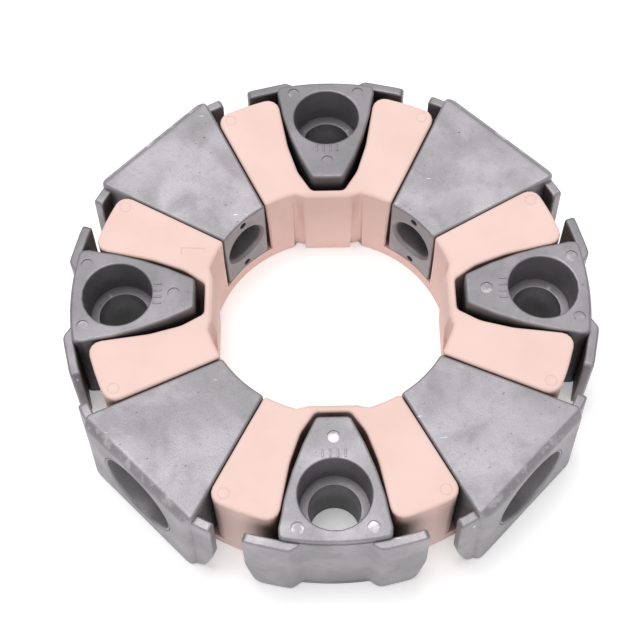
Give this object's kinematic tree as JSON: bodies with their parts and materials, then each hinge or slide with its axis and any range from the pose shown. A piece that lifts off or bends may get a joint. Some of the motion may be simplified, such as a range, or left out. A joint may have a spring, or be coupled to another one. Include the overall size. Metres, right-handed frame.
{
  "type": "flexible jaw coupling element",
  "caption": "Flexible coupling element: a pink elastomer ring of pads holding loose cast inserts with axial and radial screw holes",
  "frame": {"origin": "on the ring's axis, at the underside", "axes": "+Z along the ring's axis, out of the face with the axial screw heads; -Y to the front; +X to the right"},
  "size_m": [0.2086, 0.2086, 0.046],
  "materials": {
    "elastomer": "matte, salmon pink",
    "axial_casting": "as cast, mottled",
    "radial_casting": "as cast, mottled"
  },
  "bodies": {
    "hub_side": {"radial_insert_front_right": "radial_casting", "radial_insert_back_right": "radial_casting", "radial_insert_back_left": "radial_casting", "radial_insert_front_left": "radial_casting"},
    "element": {"elastic_ring": "elastomer"},
    "screw_side_front": {"axial_insert_front": "axial_casting"},
    "screw_side_right": {"axial_insert_right": "axial_casting"},
    "screw_side_back": {"axial_insert_back": "axial_casting"},
    "screw_side_left": {"axial_insert_left": "axial_casting"}
  },
  "joints": [
    {"name": "wind_up", "type": "hinge", "parent": "hub_side", "child": "element", "pos_m": [0, 0, 0], "axis": [0, 0, 1], "range_deg": [-3, 3], "stiffness_Nm_per_rad": 1200, "deforming": ["elastic_ring"]},
    {"name": "pull_front", "type": "slide", "parent": "element", "child": "screw_side_front", "axis": [0, 0, 1], "range_m": [0, 0.055]},
    {"name": "pull_right", "type": "slide", "parent": "element", "child": "screw_side_right", "axis": [0, 0, 1], "range_m": [0, 0.055]},
    {"name": "pull_back", "type": "slide", "parent": "element", "child": "screw_side_back", "axis": [0, 0, 1], "range_m": [0, 0.055]},
    {"name": "pull_left", "type": "slide", "parent": "element", "child": "screw_side_left", "axis": [0, 0, 1], "range_m": [0, 0.055]}
  ]
}
